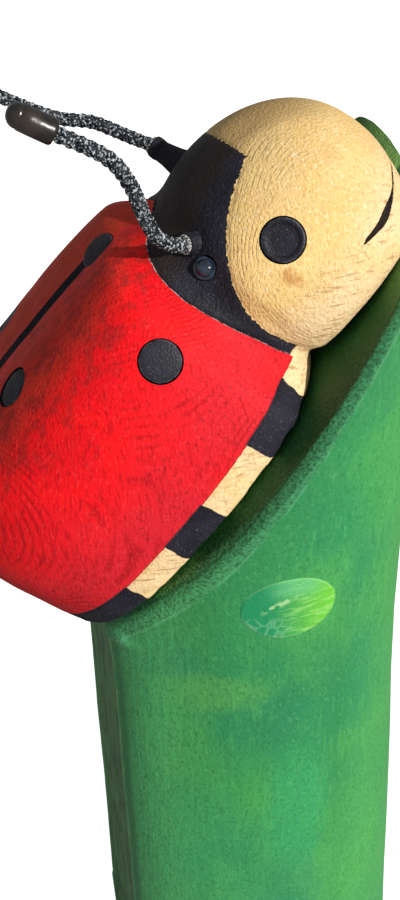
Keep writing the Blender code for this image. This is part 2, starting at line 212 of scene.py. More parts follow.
class Paint:
    """A painted surface. Its place is the object's, and its along is the ladybird's own axes."""

    def __init__(self, name):
        self.material = bpy.data.materials.new(name)
        self.material.use_nodes = True
        self.tree = self.material.node_tree
        self.shader = self.tree.nodes["Principled BSDF"]
        self.place = Term(self.tree, self.node("ShaderNodeTexCoord").outputs["Object"])
        self.along = self.turned_place(SEAT, (0, -CLIMB, 0))

    def node(self, kind, **values):
        """A new node of a kind, with its inputs fed by name."""
        node = self.tree.nodes.new(kind)
        for name, value in values.items():
            feed(self.tree, node.inputs[name], value)
        return node

    def turned_place(self, location, rotation, kind="TEXTURE", scale=(1, 1, 1)):
        node = self.node("ShaderNodeMapping", Vector=self.place, Location=location, Rotation=rotation,
                         Scale=scale)
        node.vector_type = kind
        return Term(self.tree, node.outputs[0])

    def axes(self, place):
        node = self.node("ShaderNodeSeparateXYZ", Vector=place)
        return [Term(self.tree, output) for output in node.outputs]

    def grain(self, scale, detail=2.0, stretch=(1, 1, 1), turn=(0, 0, 0)):
        """Noise about 0.5, drawn out along an axis where the stretch is small."""
        place = self.turned_place((0, 0, 0), turn, "POINT", stretch)
        node = self.node("ShaderNodeTexNoise", Vector=place, Scale=scale, Detail=detail)
        return Term(self.tree, node.outputs[0])

    def mix(self, share, first, second):
        node = self.node("ShaderNodeMix")
        node.data_type = "RGBA"
        feed(self.tree, node.inputs[0], share)
        for socket, colour in ((node.inputs[6], first), (node.inputs[7], second)):
            feed(self.tree, socket, colour if isinstance(colour, Term) else (*colour, 1))
        return Term(self.tree, node.outputs[2])

    def speck(self, share, colour, tint, fade, *noise):
        """The colour with a share of a tint wherever the grain of that noise is past the fade."""
        return self.mix(self.grain(*noise).ramp(*fade) * share, colour, tint)

    def finish(self, colour, roughness, height, gloss=0.22):
        """Height is in metres."""
        bump = Term(self.tree, self.node("ShaderNodeBump", Distance=1.0, Height=height).outputs[0])
        looks = {"Base Color": colour, "Roughness": roughness, "Specular IOR Level": gloss, "Normal": bump}
        for name, value in looks.items():
            feed(self.tree, self.shader.inputs[name], value)
        return self.material


def distance(axes, centre, stretch=(1, 1, 1)):
    """How far a point of the surface is from a centre, and less so along an axis that is stretched."""
    first, *rest = [((axis - at) / far) ** 2 for axis, at, far in zip(axes, centre, stretch)]
    return sum(rest, first) ** 0.5


def smooth_step(value, start, end):
    share = min(1.0, max(0.0, (value - start) / (end - start)))
    return share * share * (3 - 2 * share)


def trunk_radius(angle, height):
    """Round but for one flat side, with a ridge at its near edge that wanders inward to the foot."""
    below = max(0.0, TWIST_START - height)
    arris = ARRIS_ANGLE + ARRIS_TWIST * below
    radius = TRUNK_RADIUS + ARRIS_RISE * math.exp(-(((angle - arris) / ARRIS_SPREAD) ** 2))
    towards_flat = math.cos(angle - FLAT_ANGLE)
    if towards_flat > 0:
        radius = min(radius, (FLAT_DISTANCE - FLAT_NARROWING * below) / towards_flat)
    return radius + WIDENING * max(0.0, WIDENING_START - height)


def leaf_height(x, y):
    """Level of the leaf's face: flat, drooping at its sides, curled up at its tip."""
    droop = DROOP * max(0.0, abs(y) - DROOP_START) ** 2
    reach = x * math.cos(CLIMB) + y * math.sin(CLIMB)
    curl = CURL * max(0.0, reach - CURL_START) ** 2 * smooth_step(x, *CURL_ZONE)
    return SEAT.z + math.tan(CLIMB) * (x - SEAT.x) - (CUT_GAP + droop) / math.cos(CLIMB) + curl


def post_point(side, ring):
    """A point of the post's skin: rings up its side, over the bevel and in to the middle of the slope."""
    angle = 2 * math.pi * side / POST_SIDES
    edge = trunk_radius(angle, SEAT.z)
    brow = leaf_height(edge * math.cos(angle), edge * math.sin(angle)) - LEAF_EDGE
    if ring <= SIDE_RINGS:
        height = brow * ring / SIDE_RINGS
        radius = trunk_radius(angle, height) - SKIN_SET
        return Vector((radius * math.cos(angle), radius * math.sin(angle), height))
    share = (ring - SIDE_RINGS) / TOP_RINGS
    radius = edge * (1 - share)
    x, y = radius * math.cos(angle), radius * math.sin(angle)
    inset = min(1.0, (1 - radius / edge) / EDGE_ROUNDING)
    return Vector((x, y, leaf_height(x, y) - LEAF_EDGE * (1 - inset) ** 1.3))


def wrapped_skin(around, rows, point):
    """A grid rolled into a tube, with its seam sewn and its ends closed."""
    bm = bmesh.new()
    bmesh.ops.create_grid(bm, x_segments=rows, y_segments=around, size=0.5)
    for vert in bm.verts:
        row = round((vert.co.x + 0.5) * rows)
        vert.co = point(round((vert.co.y + 0.5) * around) % around, row)
    bmesh.ops.remove_doubles(bm, verts=bm.verts, dist=1e-5)
    bmesh.ops.dissolve_degenerate(bm, dist=1e-6, edges=bm.edges)
    bmesh.ops.holes_fill(bm, edges=[edge for edge in bm.edges if edge.is_boundary], sides=0)
    bmesh.ops.recalc_face_normals(bm, faces=bm.faces)
    if bm.calc_volume(signed=True) < 0:
        bmesh.ops.reverse_faces(bm, faces=bm.faces)
    return bm


def carve(bm, relief):
    """Moves each point along its normal by the relief there."""
    bm.normal_update()
    moves = [vert.normal * relief(vert.co) for vert in bm.verts]
    for vert, move in zip(bm.verts, moves):
        vert.co += move


def lumps(place, size):
    """Noise from -1 to 1 with swellings about as wide as the size."""
    return noise.noise(place / size)


def smooth(mesh, sharp):
    mesh.shade_smooth()
    mesh.set_sharp_from_angle(angle=math.radians(sharp))


def finished(name, bm, *materials, sharp=40):
    piece = added(name, bm, *materials)
    smooth(piece.data, sharp)
    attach(piece, "root")
    return piece


def post_relief(place):
    """Broad hollows of the drawknife up the side, and close gouge strokes over the bevel and slope."""
    angle = math.atan2(place.y, place.x) % (2 * math.pi)
    radius = math.hypot(place.x, place.y)
    depth = leaf_height(place.x, place.y) - place.z
    near_top = smooth_step(depth, 0.030, 0.008)
    broad = lumps(Vector((place.x, place.y, place.z * 0.35)), 0.05) - 0.9
    strokes = lumps(place, 0.009) - 0.5
    near_arris = angle - math.radians(RIDGE_ANGLE + RIDGE_TWIST * max(0.0, TWIST_START - place.z))
    arris = math.exp(-((near_arris / 0.05) ** 2)) * (1 - near_top)
    relief = HOLLOW_DEPTH * broad * (1 - near_top) + STROKE_DEPTH * strokes * near_top - RIDGE_WEAR * arris
    from_lip = place - LIP
    swell = math.exp(-((from_lip.x / 0.013) ** 2 + (from_lip.y / 0.02) ** 2 + (from_lip.z / 0.006) ** 2))
    if radius < STILL_MIDDLE:
        relief = 0.0
    return relief * smooth_step(place.z, 0.0, 0.01) + LIP_SWELL * swell


def post_paint():
    paint = Paint("leaf_greens")
    x, y, z = paint.axes(paint.place)
    _, across, above = paint.axes(paint.along)
    around = x.step("ARCTAN2", y * -1) * TRUNK_RADIUS
    droop = (abs(across) - DROOP_START).most(0.0) ** 2 * DROOP
    depth = (above + droop) * -1.0
    inward = distance((x, y), (0, 0)) * -1 + TRUNK_RADIUS
    edge_depth = depth + inward.ramp(0.014, 0.006) * x.ramp(-0.04, 0.10) * 0.009

    patches = paint.grain(8, 2, (1, 1, 0.7)).ramp(0.36, 0.66)
    colour = paint.mix(patches, (0.050, 0.310, 0.078), (0.026, 0.245, 0.090))
    colour = paint.speck(0.50, colour, (0.090, 0.41, 0.085), (0.50, 0.74), 11, 3, (1, 1, 0.7), (0.3, 0, 0.5))
    sway = (paint.grain(5, 1, (1, 1, 0.8)) - 0.5) * 0.05
    shadow_band = (around + sway).band(0.083, 0.010, 0.026) * z.ramp(0.78, 0.64)
    colour = paint.mix(shadow_band * 0.62, colour, (0.018, 0.19, 0.062))
    right_edge = (around + sway * 0.4).ramp(0.105, 0.165)
    colour = paint.mix(right_edge * 0.30, colour, (0.080, 0.37, 0.075))
    # Painted shadow: the side is a darker green just below the bevel, as if shaded by the ladybird above
    painted_shade_below_bevel = (depth + (paint.grain(14, 2) - 0.5) * 0.03).ramp(0.075, 0.015)
    colour = paint.mix(painted_shade_below_bevel * 0.50, colour, (0.026, 0.215, 0.078))
    for right, up, wide, high, share, tint in PATCHES:
        from_patch = ((around + sway - right) / wide) ** 2 + ((z + sway - up) / high) ** 2
        colour = paint.mix(from_patch.ramp(1.8, 0.1) * share, colour, tint)
    low = z.ramp(0.52, 0.25) * (around + sway).ramp(0.03, -0.05)
    colour = paint.mix(low * 0.45, colour, (0.055, 0.34, 0.115))
    # Painted light: the left of the log, which the key lamp hardly reaches, is painted a lighter green
    painted_light_left_side = (around + sway * 0.5).ramp(-0.040, -0.120)
    colour = paint.mix(painted_light_left_side * 0.65, colour, (0.085, 0.44, 0.150))
    colour = paint.mix(abs(around).ramp(0.30, 0.48), colour, (0.045, 0.28, 0.085))
    colour = paint.speck(0.50, colour, (0.020, 0.16, 0.045), (0.50, 0.68), 300, 3, (1, 1, 0.8))
    colour = paint.speck(0.26, colour, (0.14, 0.46, 0.15), (0.56, 0.70), 330, 2, (1, 1, 0.6), (0.5, 0.3, 0))
    colour = paint.speck(0.34, colour, (0.03, 0.22, 0.075), (0.46, 0.72), 95, 3, (1.6, 1.6, 0.6))
    slanted = paint.grain(90, 2, (3.0, 3.0, 0.4), (0, -0.7, 0)).ramp(0.52, 0.72)
    slanted = slanted * paint.grain(10, 1).ramp(0.45, 0.6)
    colour = paint.mix(slanted * 0.30, colour, (0.10, 0.42, 0.10))
    crack = (around - (z - 0.548) * -0.5 + 0.0275).band(0, 0.0005, 0.0009)
    crack = crack * z.band(0.548, 0.018, 0.010)
    colour = paint.mix(crack * 0.45, colour, (0.02, 0.12, 0.05))

    ragged = (paint.grain(90, 2) - 0.5) * 0.006
    below = (z * -1 + TWIST_START).most(0.0)
    near_arris = around + below * RIDGE_DRIFT + ragged
    flat_side = near_arris.ramp(RIDGE_PLACE, RIDGE_PLACE - 0.002)
    blotches = paint.grain(55, 3, (1, 1, 0.5)).ramp(0.38, 0.66)
    olive = paint.mix(blotches, (0.095, 0.260, 0.080), (0.042, 0.130, 0.045))
    olive = paint.speck(0.6, olive, (0.022, 0.035, 0.014), (0.55, 0.68), 260, 2)
    olive = paint.speck(0.35, olive, (0.24, 0.30, 0.12), (0.60, 0.70), 240, 2, (1, 1, 0.5), (0.7, 0, 0))
    colour = paint.mix(flat_side * near_arris.ramp(-0.318, -0.300), colour, olive)
    arris = near_arris.band(RIDGE_PLACE + 0.0009, 0.0011, 0.001) * paint.grain(25, 2).ramp(0.40, 0.58)
    colour = paint.mix(arris * 0.75, colour, (0.28, 0.56, 0.20))
    # Painted shadow: a dark strip down the side, beside the ridge
    beside = near_arris.band(RIDGE_PLACE + 0.0075, 0.005, 0.005)
    colour = paint.mix(beside * 0.55, colour, (0.022, 0.13, 0.045))

    stroke = paint.grain(520, 3, (0.45, 1, 0.8), (0, CLIMB, 0))
    ragged_depth = edge_depth + ragged * 0.4
    bevel = ragged_depth.ramp(0.0200, 0.0170)
    # Painted light: where the bevel lies out of the key lamp, on the left, it is painted a lighter teal
    painted_light_where_unlit = (around + ragged).ramp(0.02, -0.09) * abs(around).ramp(0.50, 0.35)
    teal = paint.mix(ragged_depth.ramp(0.003, 0.012), (0.030, 0.150, 0.060), (0.045, 0.225, 0.095))
    teal = paint.mix(painted_light_where_unlit * 0.9, teal, (0.070, 0.330, 0.115))
    teal = paint.mix(stroke.ramp(0.52, 0.66) * 0.50, teal, (0.070, 0.36, 0.130))
    teal = paint.mix(stroke.ramp(0.50, 0.36) * 0.60, teal, (0.014, 0.070, 0.026))
    colour = paint.mix(bevel, colour, teal)
    from_lip = distance((around, z), (LIP_ROUND, LIP_HEIGHT))
    colour = paint.mix(from_lip.ramp(0.014, 0.006) * 0.6, colour, (0.110, 0.460, 0.200))
    brow = (edge_depth + ragged * 0.3).band(0.0192, 0.0012, 0.0012) * paint.grain(30, 2).ramp(0.38, 0.58)
    colour = paint.mix(brow * 0.35, colour, (0.16, 0.50, 0.26))
    # Painted shade: the slope is painted a dark green, for the shade it lies in
    slope = (edge_depth + ragged * 0.3).ramp(0.0040, 0.0016)
    dark = paint.mix(stroke.ramp(0.40, 0.66), (0.020, 0.095, 0.026), (0.036, 0.150, 0.044))
    # Painted light: the slope is painted lighter on the left, where the key lamp does not reach
    dark = paint.mix(painted_light_where_unlit * stroke.ramp(0.42, 0.60) * 0.8, dark, (0.110, 0.270, 0.085))
    # Painted light: the curled tip behind the head is painted a bright green, where it catches the light
    dark = paint.mix(x.ramp(0.105, 0.150) * y.ramp(0.125, 0.080) * 0.9, dark, (0.240, 0.520, 0.165))
    colour = paint.mix(slope, colour, dark)
    groove = (edge_depth + ragged * 0.5).band(0.0036, 0.0006, 0.0008)
    colour = paint.mix(groove * 0.6, colour, (0.008, 0.024, 0.008))

    rightward, upward = around - DROP_ROUND, z - DROP_HEIGHT
    long_way = rightward * DROP_COS + upward * -DROP_SIN
    short_way = upward * DROP_COS + rightward * DROP_SIN
    outline = distance((long_way, short_way), (0, 0), (DROP_LONG, DROP_SHORT))
    outline = outline + (paint.grain(60, 1) - 0.5) * 0.06
    drop = outline.ramp(1.03, 0.97)
    drop_tint = paint.mix(rightward.ramp(-0.022, 0.040), (0.012, 0.255, 0.105), (0.155, 0.56, 0.035))
    brush = paint.grain(110, 2, (0.4, 0.4, 3.0), (0, -0.42, 0))
    streaky = brush.ramp(0.48, 0.62) * rightward.ramp(-0.02, 0.015)
    drop_tint = paint.mix(streaky * 0.60, drop_tint, (0.33, 0.70, 0.19))
    sheen = short_way.ramp(0.004, 0.022) * long_way.band(0.004, 0.022, 0.014)
    drop_tint = paint.mix(sheen * 0.60, drop_tint, (0.15, 0.55, 0.25))
    glint = paint.grain(150, 2, (1, 1, 1), (0, 0.5, 0)).ramp(0.50, 0.58)
    glint = glint * (short_way - long_way * 0.55).band(0.011, 0.003, 0.003)
    drop_tint = paint.mix(glint * long_way.band(-0.010, 0.013, 0.005) * 0.80, drop_tint, (0.48, 0.74, 0.36))
    bubbles = paint.node("ShaderNodeTexVoronoi", Vector=paint.place, Scale=75)
    bubbles.feature = "DISTANCE_TO_EDGE"
    film = Term(paint.tree, bubbles.outputs[0]).ramp(0.10, 0.03) * short_way.ramp(-0.008, -0.014)
    film = film * rightward.ramp(0.014, -0.002)
    drop_tint = paint.mix(film * 0.32, drop_tint, (0.26, 0.60, 0.34))
    colour = paint.mix(drop * 0.85, colour, drop_tint)
    rim_line = outline.band(0.985, 0.014, 0.022)
    colour = paint.mix(rim_line * short_way.ramp(0.006, 0.022) * 0.50, colour, (0.34, 0.70, 0.28))
    lower_line = rim_line * short_way.ramp(0.0, -0.015) * rightward.ramp(0.03, 0.0)
    colour = paint.mix(lower_line * 0.50, colour, (0.28, 0.60, 0.34))
    colour = paint.mix(rim_line * rightward.ramp(0.0, -0.03) * 0.6, colour, (0.01, 0.14, 0.06))

    height = paint.grain(420, 2) * 0.0006 + paint.grain(60, 3, (3, 3, 0.35)) * 0.0006
    height = height + stroke * bevel * 0.0012 + drop * 0.0004
    return paint.finish(colour, paint.grain(30, 2) * 0.25 + 0.36, height)


post_skin = wrapped_skin(POST_SIDES, SIDE_RINGS + TOP_RINGS, post_point)
carve(post_skin, post_relief)
post = finished("leaf_post_skin", post_skin, post_paint())
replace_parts(post, "leaf_post")


# ---- Carved ladybird ----
# One block of pale hardwood, carved with a gouge, sanded and painted, in two lengths that meet at the
# collar: the shell with its rim, and the collar with the head. Its own axes are X to the head, Y to its
# left and Z through its back.
TAIL, COLLAR, SNOUT = -0.234, 0.124, 0.2873
BODY_MIDDLE, SHELL_REAR, SHELL_FRONT, SHELL_HALF_WIDTH = -0.080, 0.154, 0.250, 0.155
SHELL_RISE, SHELL_FALL = 0.167, 0.007
RIM_HEIGHT, RIM_SLOPE = 0.032, 0.006
TAIL_LIFT, TAIL_LIFT_ZONE = 0.011, (0.16, 0.22)
HEAD_MIDDLE, HEAD_REAR, HEAD_FRONT, HEAD_HALF_WIDTH = 0.171, 0.1165, 0.1163, 0.104
HEAD_LEVEL, HEAD_RISE, HEAD_DEPTH = 0.0817, 0.0948, 0.120
SHELL_SQUARENESS, RIM_SQUARENESS = 3.4, 9.0
HEAD_SQUARENESS, JAW_SQUARENESS = 1.85, 3.8
NECK_PINCH, NECK_PLACE, NECK_LENGTH = 2.8, 0.129, 0.012
COLLAR_BLEND = (0.088, 0.156)
MIDLINE, VALLEY_DEPTH, VALLEY_WIDTH = -0.009, 0.003, 0.030
GROOVE_DEPTH, GROOVE_HALF_WIDTH, GROOVE_FRONT, GROOVE_FOOT = 0.0046, 0.0084, 0.066, 0.05
WING_SHOULDER, WING_REACH, WING_TOP, WING_FOOT = 42, 0.115, 0.022, 0.013
WING_PIVOT_Y, WING_PIVOT_Z = 0.008, 0.060
CHEEK_X, CHEEK_Z, CHEEK_RADIUS, CHEEK_SPREAD = 0.225, 0.062, 0.0915, 0.15
HOOD_X, HOOD_Y, HOOD_SLOPE = 0.2036, 0.024, 0.29
SMILE_LEVEL, CORNER_RISE, MIDDLE_RISE = 0.0457, 0.0060, 0.003
SMILE_THIN, SMILE_THICK, THICKEST, THICK_REACH = 0.0009, 0.0027, 0.072, 0.013
CORNER_ZONE, MIDDLE_ZONE, SMILE_END = (0.074, 0.093), (0.058, 0.035), (0.0905, 0.0865)
SMILE_BACK, SMILE_CUT = 0.215, 0.0024
WALL_START, WALL_FOOT = 0.1, 0.036
AROUND, SHELL_ROWS, HEAD_ROWS = 400, 205, 175
SPOT_RADIUS, EYE_RADIUS, SCREW_FLANGE = 0.0170, 0.0170, 0.0095
ROPE_HOLE, ROPE_SET = 0.0067, 0.0068
POCKET_CLEARANCE, SPOT_POCKET, EYE_POCKET, SCREW_POCKET = 0.0010, 0.0077, 0.0087, 0.0043
SPOTS = {
    "spot_middle": ((0.080, -0.009, 0.1905), (0.15, -0.27, 1)),
    "spot_flank_right": ((0.0757, -0.1233, 0.1298), (0.34, -0.90, 0.25)),
    "spot_flank_left": ((0.0757, 0.1233, 0.1298), (0.34, 0.90, 0.25)),
    "spot_back_right": ((-0.036, -0.073, 0.1945), (0.02, -0.16, 0.99)),
    "spot_back_left": ((-0.054, 0.066, 0.1955), (0.01, 0.12, 0.99)),
    "spot_rear_right": ((-0.1812, -0.0850, 0.1627), (-0.56, -0.52, 0.64)),
    "spot_rear_left": ((-0.1755, 0.0872, 0.1660), (-0.56, 0.52, 0.64)),
}
EYE = ((0.2005, 0.0952, 0.1068), (0.16, 0.90, 0.38))
SCREW = ((0.143, 0.079, 0.134), (0.25, 0.82, 0.51))
HANDS = (("right", -1), ("left", 1))
KNOT, BLUSH, RINGS_FROM = (0.183, -0.101, 0.084), (0.264, -0.055, 0.107), (-0.086, -0.01)
BOSSES = {"right": ((0.158, -0.052, 0.134), (0.146, -0.067, 0.154)),
          "left": ((0.166, 0.050, 0.135), (0.157, 0.074, 0.184))}


def oval(along, power):
    """Half width of a rounded outline at a share of its half length."""
    return max(0.0, 1 - abs(along) ** power) ** (1 / power)


def rim_edge(x):
    """Level of the rim's upper edge, which sinks a little to the tail."""
    return RIM_HEIGHT - RIM_SLOPE * (COLLAR - x)


def shell_section(x):
    """Half width, level of the widest line, foot and top of the shell at a station."""
    along = x - BODY_MIDDLE
    if along < 0:
        half = SHELL_HALF_WIDTH * oval(along / SHELL_REAR, 2.1)
        rise = SHELL_RISE * oval(along / SHELL_REAR, 3.0)
    else:
        half = SHELL_HALF_WIDTH * oval(along / SHELL_FRONT, 2.4)
        rise = (SHELL_RISE - SHELL_FALL * (along / 0.2) ** 2) * oval(along / SHELL_FRONT, 7.0)
    return half, RIM_HEIGHT, TAIL_LIFT * smooth_step(-x, *TAIL_LIFT_ZONE), RIM_HEIGHT + rise


def head_section(x):
    along = x - HEAD_MIDDLE
    reach = oval(along / HEAD_FRONT, 2.1) if along > 0 else oval(along / HEAD_REAR, 1.8)
    foot = max(0.0, HEAD_LEVEL - HEAD_DEPTH * reach)
    return HEAD_HALF_WIDTH * reach, HEAD_LEVEL, foot, HEAD_LEVEL + HEAD_RISE * reach


def body_ring(x):
    """One cross-section, with its points crowded at the midline and the rim and few under its foot."""
    blend = smooth_step(x, *COLLAR_BLEND)
    pairs = zip(shell_section(x), head_section(x))
    half, level, foot, top = [shell + blend * (head - shell) for shell, head in pairs]
    upper = SHELL_SQUARENESS + blend * (HEAD_SQUARENESS - SHELL_SQUARENESS)
    lower = RIM_SQUARENESS + blend * (JAW_SQUARENESS - RIM_SQUARENESS)
    lower -= NECK_PINCH * math.exp(-(((x - NECK_PLACE) / NECK_LENGTH) ** 2))
    angle = np.linspace(-0.5, 1.5, 1441) * math.pi
    side, lift = np.cos(angle), np.sin(angle)
    power = np.where(lift > 0, upper, lower)
    reach = np.where(lift > 0, top - level, level - foot)
    y = half * np.sign(side) * np.abs(side) ** (2 / power)
    z = level + reach * np.sign(lift) * np.abs(lift) ** (2 / power)
    z = z - VALLEY_DEPTH * (1 - blend) * np.exp(-(((y - MIDLINE) / VALLEY_WIDTH) ** 2)) * np.maximum(lift, 0)
    worth = np.where((z < foot + 0.002) & (np.abs(y) < half * 0.85), 0.1, 1.0)
    worth += 2.0 * (1 - blend) * np.exp(-(((y - MIDLINE) / 0.007) ** 2)) * (lift > 0.5)
    worth += 1.2 * (1 - blend) * np.exp(-(((z - rim_edge(x)) / 0.004) ** 2)) * (worth > 0.5)
    run = np.concatenate([[0], np.cumsum((np.hypot(np.diff(y), np.diff(z)) + 1e-9) * worth[1:])])
    stops = np.linspace(0, run[-1], AROUND, endpoint=False)
    return np.interp(stops, run, y), np.interp(stops, run, z)


def wing_line(y, z):
    """Where the shell ends at the collar: furthest back at the shoulder, forward at the top and the rim."""
    angle = math.degrees(math.atan2(z - WING_PIVOT_Z, abs(y - WING_PIVOT_Y)))
    above = angle - WING_SHOULDER
    if above > 0:
        return WING_REACH + WING_TOP * (above / (90 - WING_SHOULDER)) ** 2
    return WING_REACH + WING_FOOT * smooth_step(-above, 0, 60)


ring_stations = 0.5 * (TAIL + SNOUT) - 0.5 * (SNOUT - TAIL) * np.cos(np.linspace(0, math.pi, 601))
ring_table = np.array([body_ring(x) for x in ring_stations])


def ring_place(x, j):
    """How far left and how high line j along the ladybird runs at a station."""
    return [np.interp(x, ring_stations, ring_table[:, axis, j]) for axis in (0, 1)]


border = []
for j in range(AROUND):
    y, z = ring_place(COLLAR, j)
    border.append(wing_line(y, z) + 0.0006 * lumps(Vector((y, z, 0)), 0.008))


def skin_points(start, end, rows, end_wall):
    """Rows from one end to the other, evenly along the outline, then a wall that closes the cut end."""
    fine = np.linspace(0, 1, 3001)
    middle = start[0] + fine * (end[0] - start[0])
    outline = np.interp(middle, ring_stations, np.abs(ring_table[:, 0]).max(axis=1))
    run = np.concatenate([[0], np.cumsum(np.hypot(np.diff(middle), np.diff(outline)))])
    shares = np.interp(np.linspace(0, run[-1], rows + 1), run, fine)
    columns = []
    for j in range(AROUND):
        x = start[j] + shares * (end[j] - start[j])
        column = [Vector(point) for point in zip(x, *ring_place(x, j))]
        cut = column[end_wall]
        middle_of_cut = Vector((COLLAR, 0, 0.09))
        wall = [cut.lerp(middle_of_cut, share) for share in (0.05, 0.5, 1)]
        columns.append(column + wall if end_wall else wall[::-1] + column)
    return columns


def smile_depth(place):
    """The mouth is a tapering V around the front of the snout, widest before its corners."""
    side = abs(place.y)
    level = SMILE_LEVEL + CORNER_RISE * smooth_step(side, *CORNER_ZONE)
    level += MIDDLE_RISE * smooth_step(side, *MIDDLE_ZONE)
    half = SMILE_THIN + SMILE_THICK * math.exp(-(((side - THICKEST) / THICK_REACH) ** 2))
    half *= smooth_step(side, *SMILE_END)
    if place.x < SMILE_BACK or half < 1e-5:
        return 0.0
    return max(0.0, 1 - abs(place.z - level) / half)


def cheek_distance(place):
    """Distance in front of the line between the collar and the face."""
    cheek = CHEEK_RADIUS - math.hypot(place.x - CHEEK_X, max(0.0, place.z - CHEEK_Z))
    cheek -= CHEEK_SPREAD * max(0.0, CHEEK_Z - place.z)
    hood = place.x - HOOD_X - HOOD_SLOPE * abs(place.y - HOOD_Y)
    return max(cheek, hood)


def worked(place):
    """Shallow hollows that a gouge and a sander leave, and none on the hidden foot."""
    swell = 0.0010 * lumps(place, 0.055) + 0.0004 * lumps(place + Vector((3, 1, 7)), 0.018)
    return min(swell, 0.0) * smooth_step(place.z, 0.001, 0.012)


def shell_relief(place):
    relief = worked(place)
    if place.z > GROOVE_FOOT:
        groove = max(0.0, 1 - abs(place.y - MIDLINE) / GROOVE_HALF_WIDTH)
        relief -= GROOVE_DEPTH * groove * smooth_step(place.x, GROOVE_FRONT, GROOVE_FRONT - 0.004)
    from_rim = place.z - rim_edge(place.x)
    relief -= 0.0009 * math.exp(-((from_rim / 0.0016) ** 2))
    relief += 0.0020 * min(0.0, lumps(place, 0.017)) * smooth_step(from_rim, -0.001, -0.006)
    lowest = smooth_step(from_rim, 0.0, 0.003) * smooth_step(place.z, 0.06, 0.03)
    return relief + 0.0004 * lowest


def head_relief(place):
    dip = smooth_step(place.x - wing_line(place.y, place.z), 0.0045, 0.0)
    dip *= smooth_step(place.z, 0.034, 0.041)
    relief = worked(place) - 0.0014 * dip - SMILE_CUT * smile_depth(place)
    return relief - 0.0007 * math.exp(-((cheek_distance(place) / 0.0016) ** 2))


def turned(profile, sides=96):
    """A solid of revolution about Z, with its profile running from its foot up to its axis."""
    bm = bmesh.new()
    verts = [bm.verts.new((radius, 0, height)) for radius, height in profile]
    edges = [bm.edges.new(pair) for pair in zip(verts, verts[1:])]
    bmesh.ops.spin(bm, geom=verts + edges, cent=(0, 0, 0), axis=(0, 0, 1), angle=2 * math.pi, steps=sides,
                   use_merge=True)
    bmesh.ops.remove_doubles(bm, verts=bm.verts, dist=1e-6)
    bmesh.ops.holes_fill(bm, edges=[edge for edge in bm.edges if edge.is_boundary], sides=0)
    bmesh.ops.recalc_face_normals(bm, faces=bm.faces)
    return bm


def facing(place, direction):
    return Matrix.Translation(Vector(place)) @ Vector(direction).to_track_quat("Z", "Y").to_matrix().to_4x4()


def set_up(bm, place, direction):
    """Stands a turned piece at a place on the ladybird, with its axis along a direction."""
    bmesh.ops.transform(bm, matrix=PERCH @ facing(place, direction), verts=bm.verts)


def cut(piece, tools):
    """Applies each cutter or filler in turn, and takes it away. The faces that it leaves keep its paint."""
    for operation, other in tools:
        step = piece.modifiers.new(other.name, "BOOLEAN")
        step.operation = operation
        step.object = other
        step.solver = "EXACT"
        step.material_mode = "TRANSFER"
    graph = bpy.context.evaluated_depsgraph_get()
    mesh = bpy.data.meshes.new_from_object(piece.evaluated_get(graph))
    piece.modifiers.clear()
    piece.data = mesh
    for _, other in tools:
        bpy.data.objects.remove(other)
    smooth(mesh, 38)


def pocket(name, seat, radius, depth):
    bm = turned(((radius, -depth), (radius, 0.03), (0, 0.03)))
    set_up(bm, *seat)
    return "DIFFERENCE", added(name, bm, charcoal)


def mirrored(seat, hand):
    return [Vector(part) * Vector((1, hand, 1)) for part in seat]


def charcoal_coat(paint):
    """Blue-black paint, rubbed and dusted with pale specks. Gives its colour."""
    coat = paint.mix(paint.grain(35, 3).ramp(0.4, 0.65), (0.014, 0.014, 0.021), (0.022, 0.021, 0.031))
    coat = paint.speck(0.55, coat, (0.075, 0.078, 0.10), (0.60, 0.72), 520, 2)
    return paint.speck(0.8, coat, (0.22, 0.23, 0.27), (0.72, 0.78), 700, 1, (1, 1, 1), (1, 0.4, 0))


def painted_shade_over_crest(paint, colour, tint):
    """Painted shade: the crown, over the crest to the left, where the surface faces away from the key lamp,
    is painted browner.
    """
    x, y, z = paint.axes(paint.along)
    crest = (y + (x * -1 + 0.21) * 0.35 + (paint.grain(60, 2) - 0.5) * 0.010).ramp(-0.052, -0.034)
    return paint.mix(crest * z.ramp(0.10, 0.14) * 0.75, colour, tint)


def bare_coat(paint):
    """Cream paint rubbed thin over the wood, stippled, with end grain showing low on the cheek."""
    x, _, z = paint.axes(paint.along)
    coat = paint.mix(paint.grain(14, 2).ramp(0.35, 0.65), (0.76, 0.500, 0.190), (0.80, 0.560, 0.240))
    coat = paint.mix(x.ramp(0.255, 0.175) * 0.9, coat, (0.94, 0.640, 0.260))
    coat = paint.mix(z.ramp(0.085, 0.045) * 0.8, coat, (0.84, 0.620, 0.370))
    stipple = paint.grain(400, 2, (1.0, 1.0, 0.6))
    coat = paint.speck(0.40, coat, (0.76, 0.50, 0.17), (0.48, 0.66), 26, 2)
    coat = paint.mix(stipple.ramp(0.52, 0.68) * 0.45, coat, (0.55, 0.34, 0.13))
    coat = paint.speck(0.5, coat, (0.90, 0.77, 0.50), (0.54, 0.68), 390, 2, (1, 1, 1), (0.5, 0, 0.2))
    streaks = paint.grain(150, 2, (0.28, 1, 2.4), (0, 0.28, 0)).ramp(0.57, 0.70)
    coat = paint.mix(streaks * z.ramp(0.085, 0.045) * 0.7, coat, (0.40, 0.22, 0.09))
    return coat, stipple


def cheek_mask(paint, raggedness):
    x, y, z = paint.axes(paint.along)
    round_cheek = distance((x, (z - CHEEK_Z).most(0.0)), (CHEEK_X, 0))
    round_cheek = round_cheek + (z * -1 + CHEEK_Z).most(0.0) * CHEEK_SPREAD
    hood = x - HOOD_X - abs(y - HOOD_Y) * HOOD_SLOPE
    return ((round_cheek * -1 + CHEEK_RADIUS).most(hood) + raggedness, round_cheek)


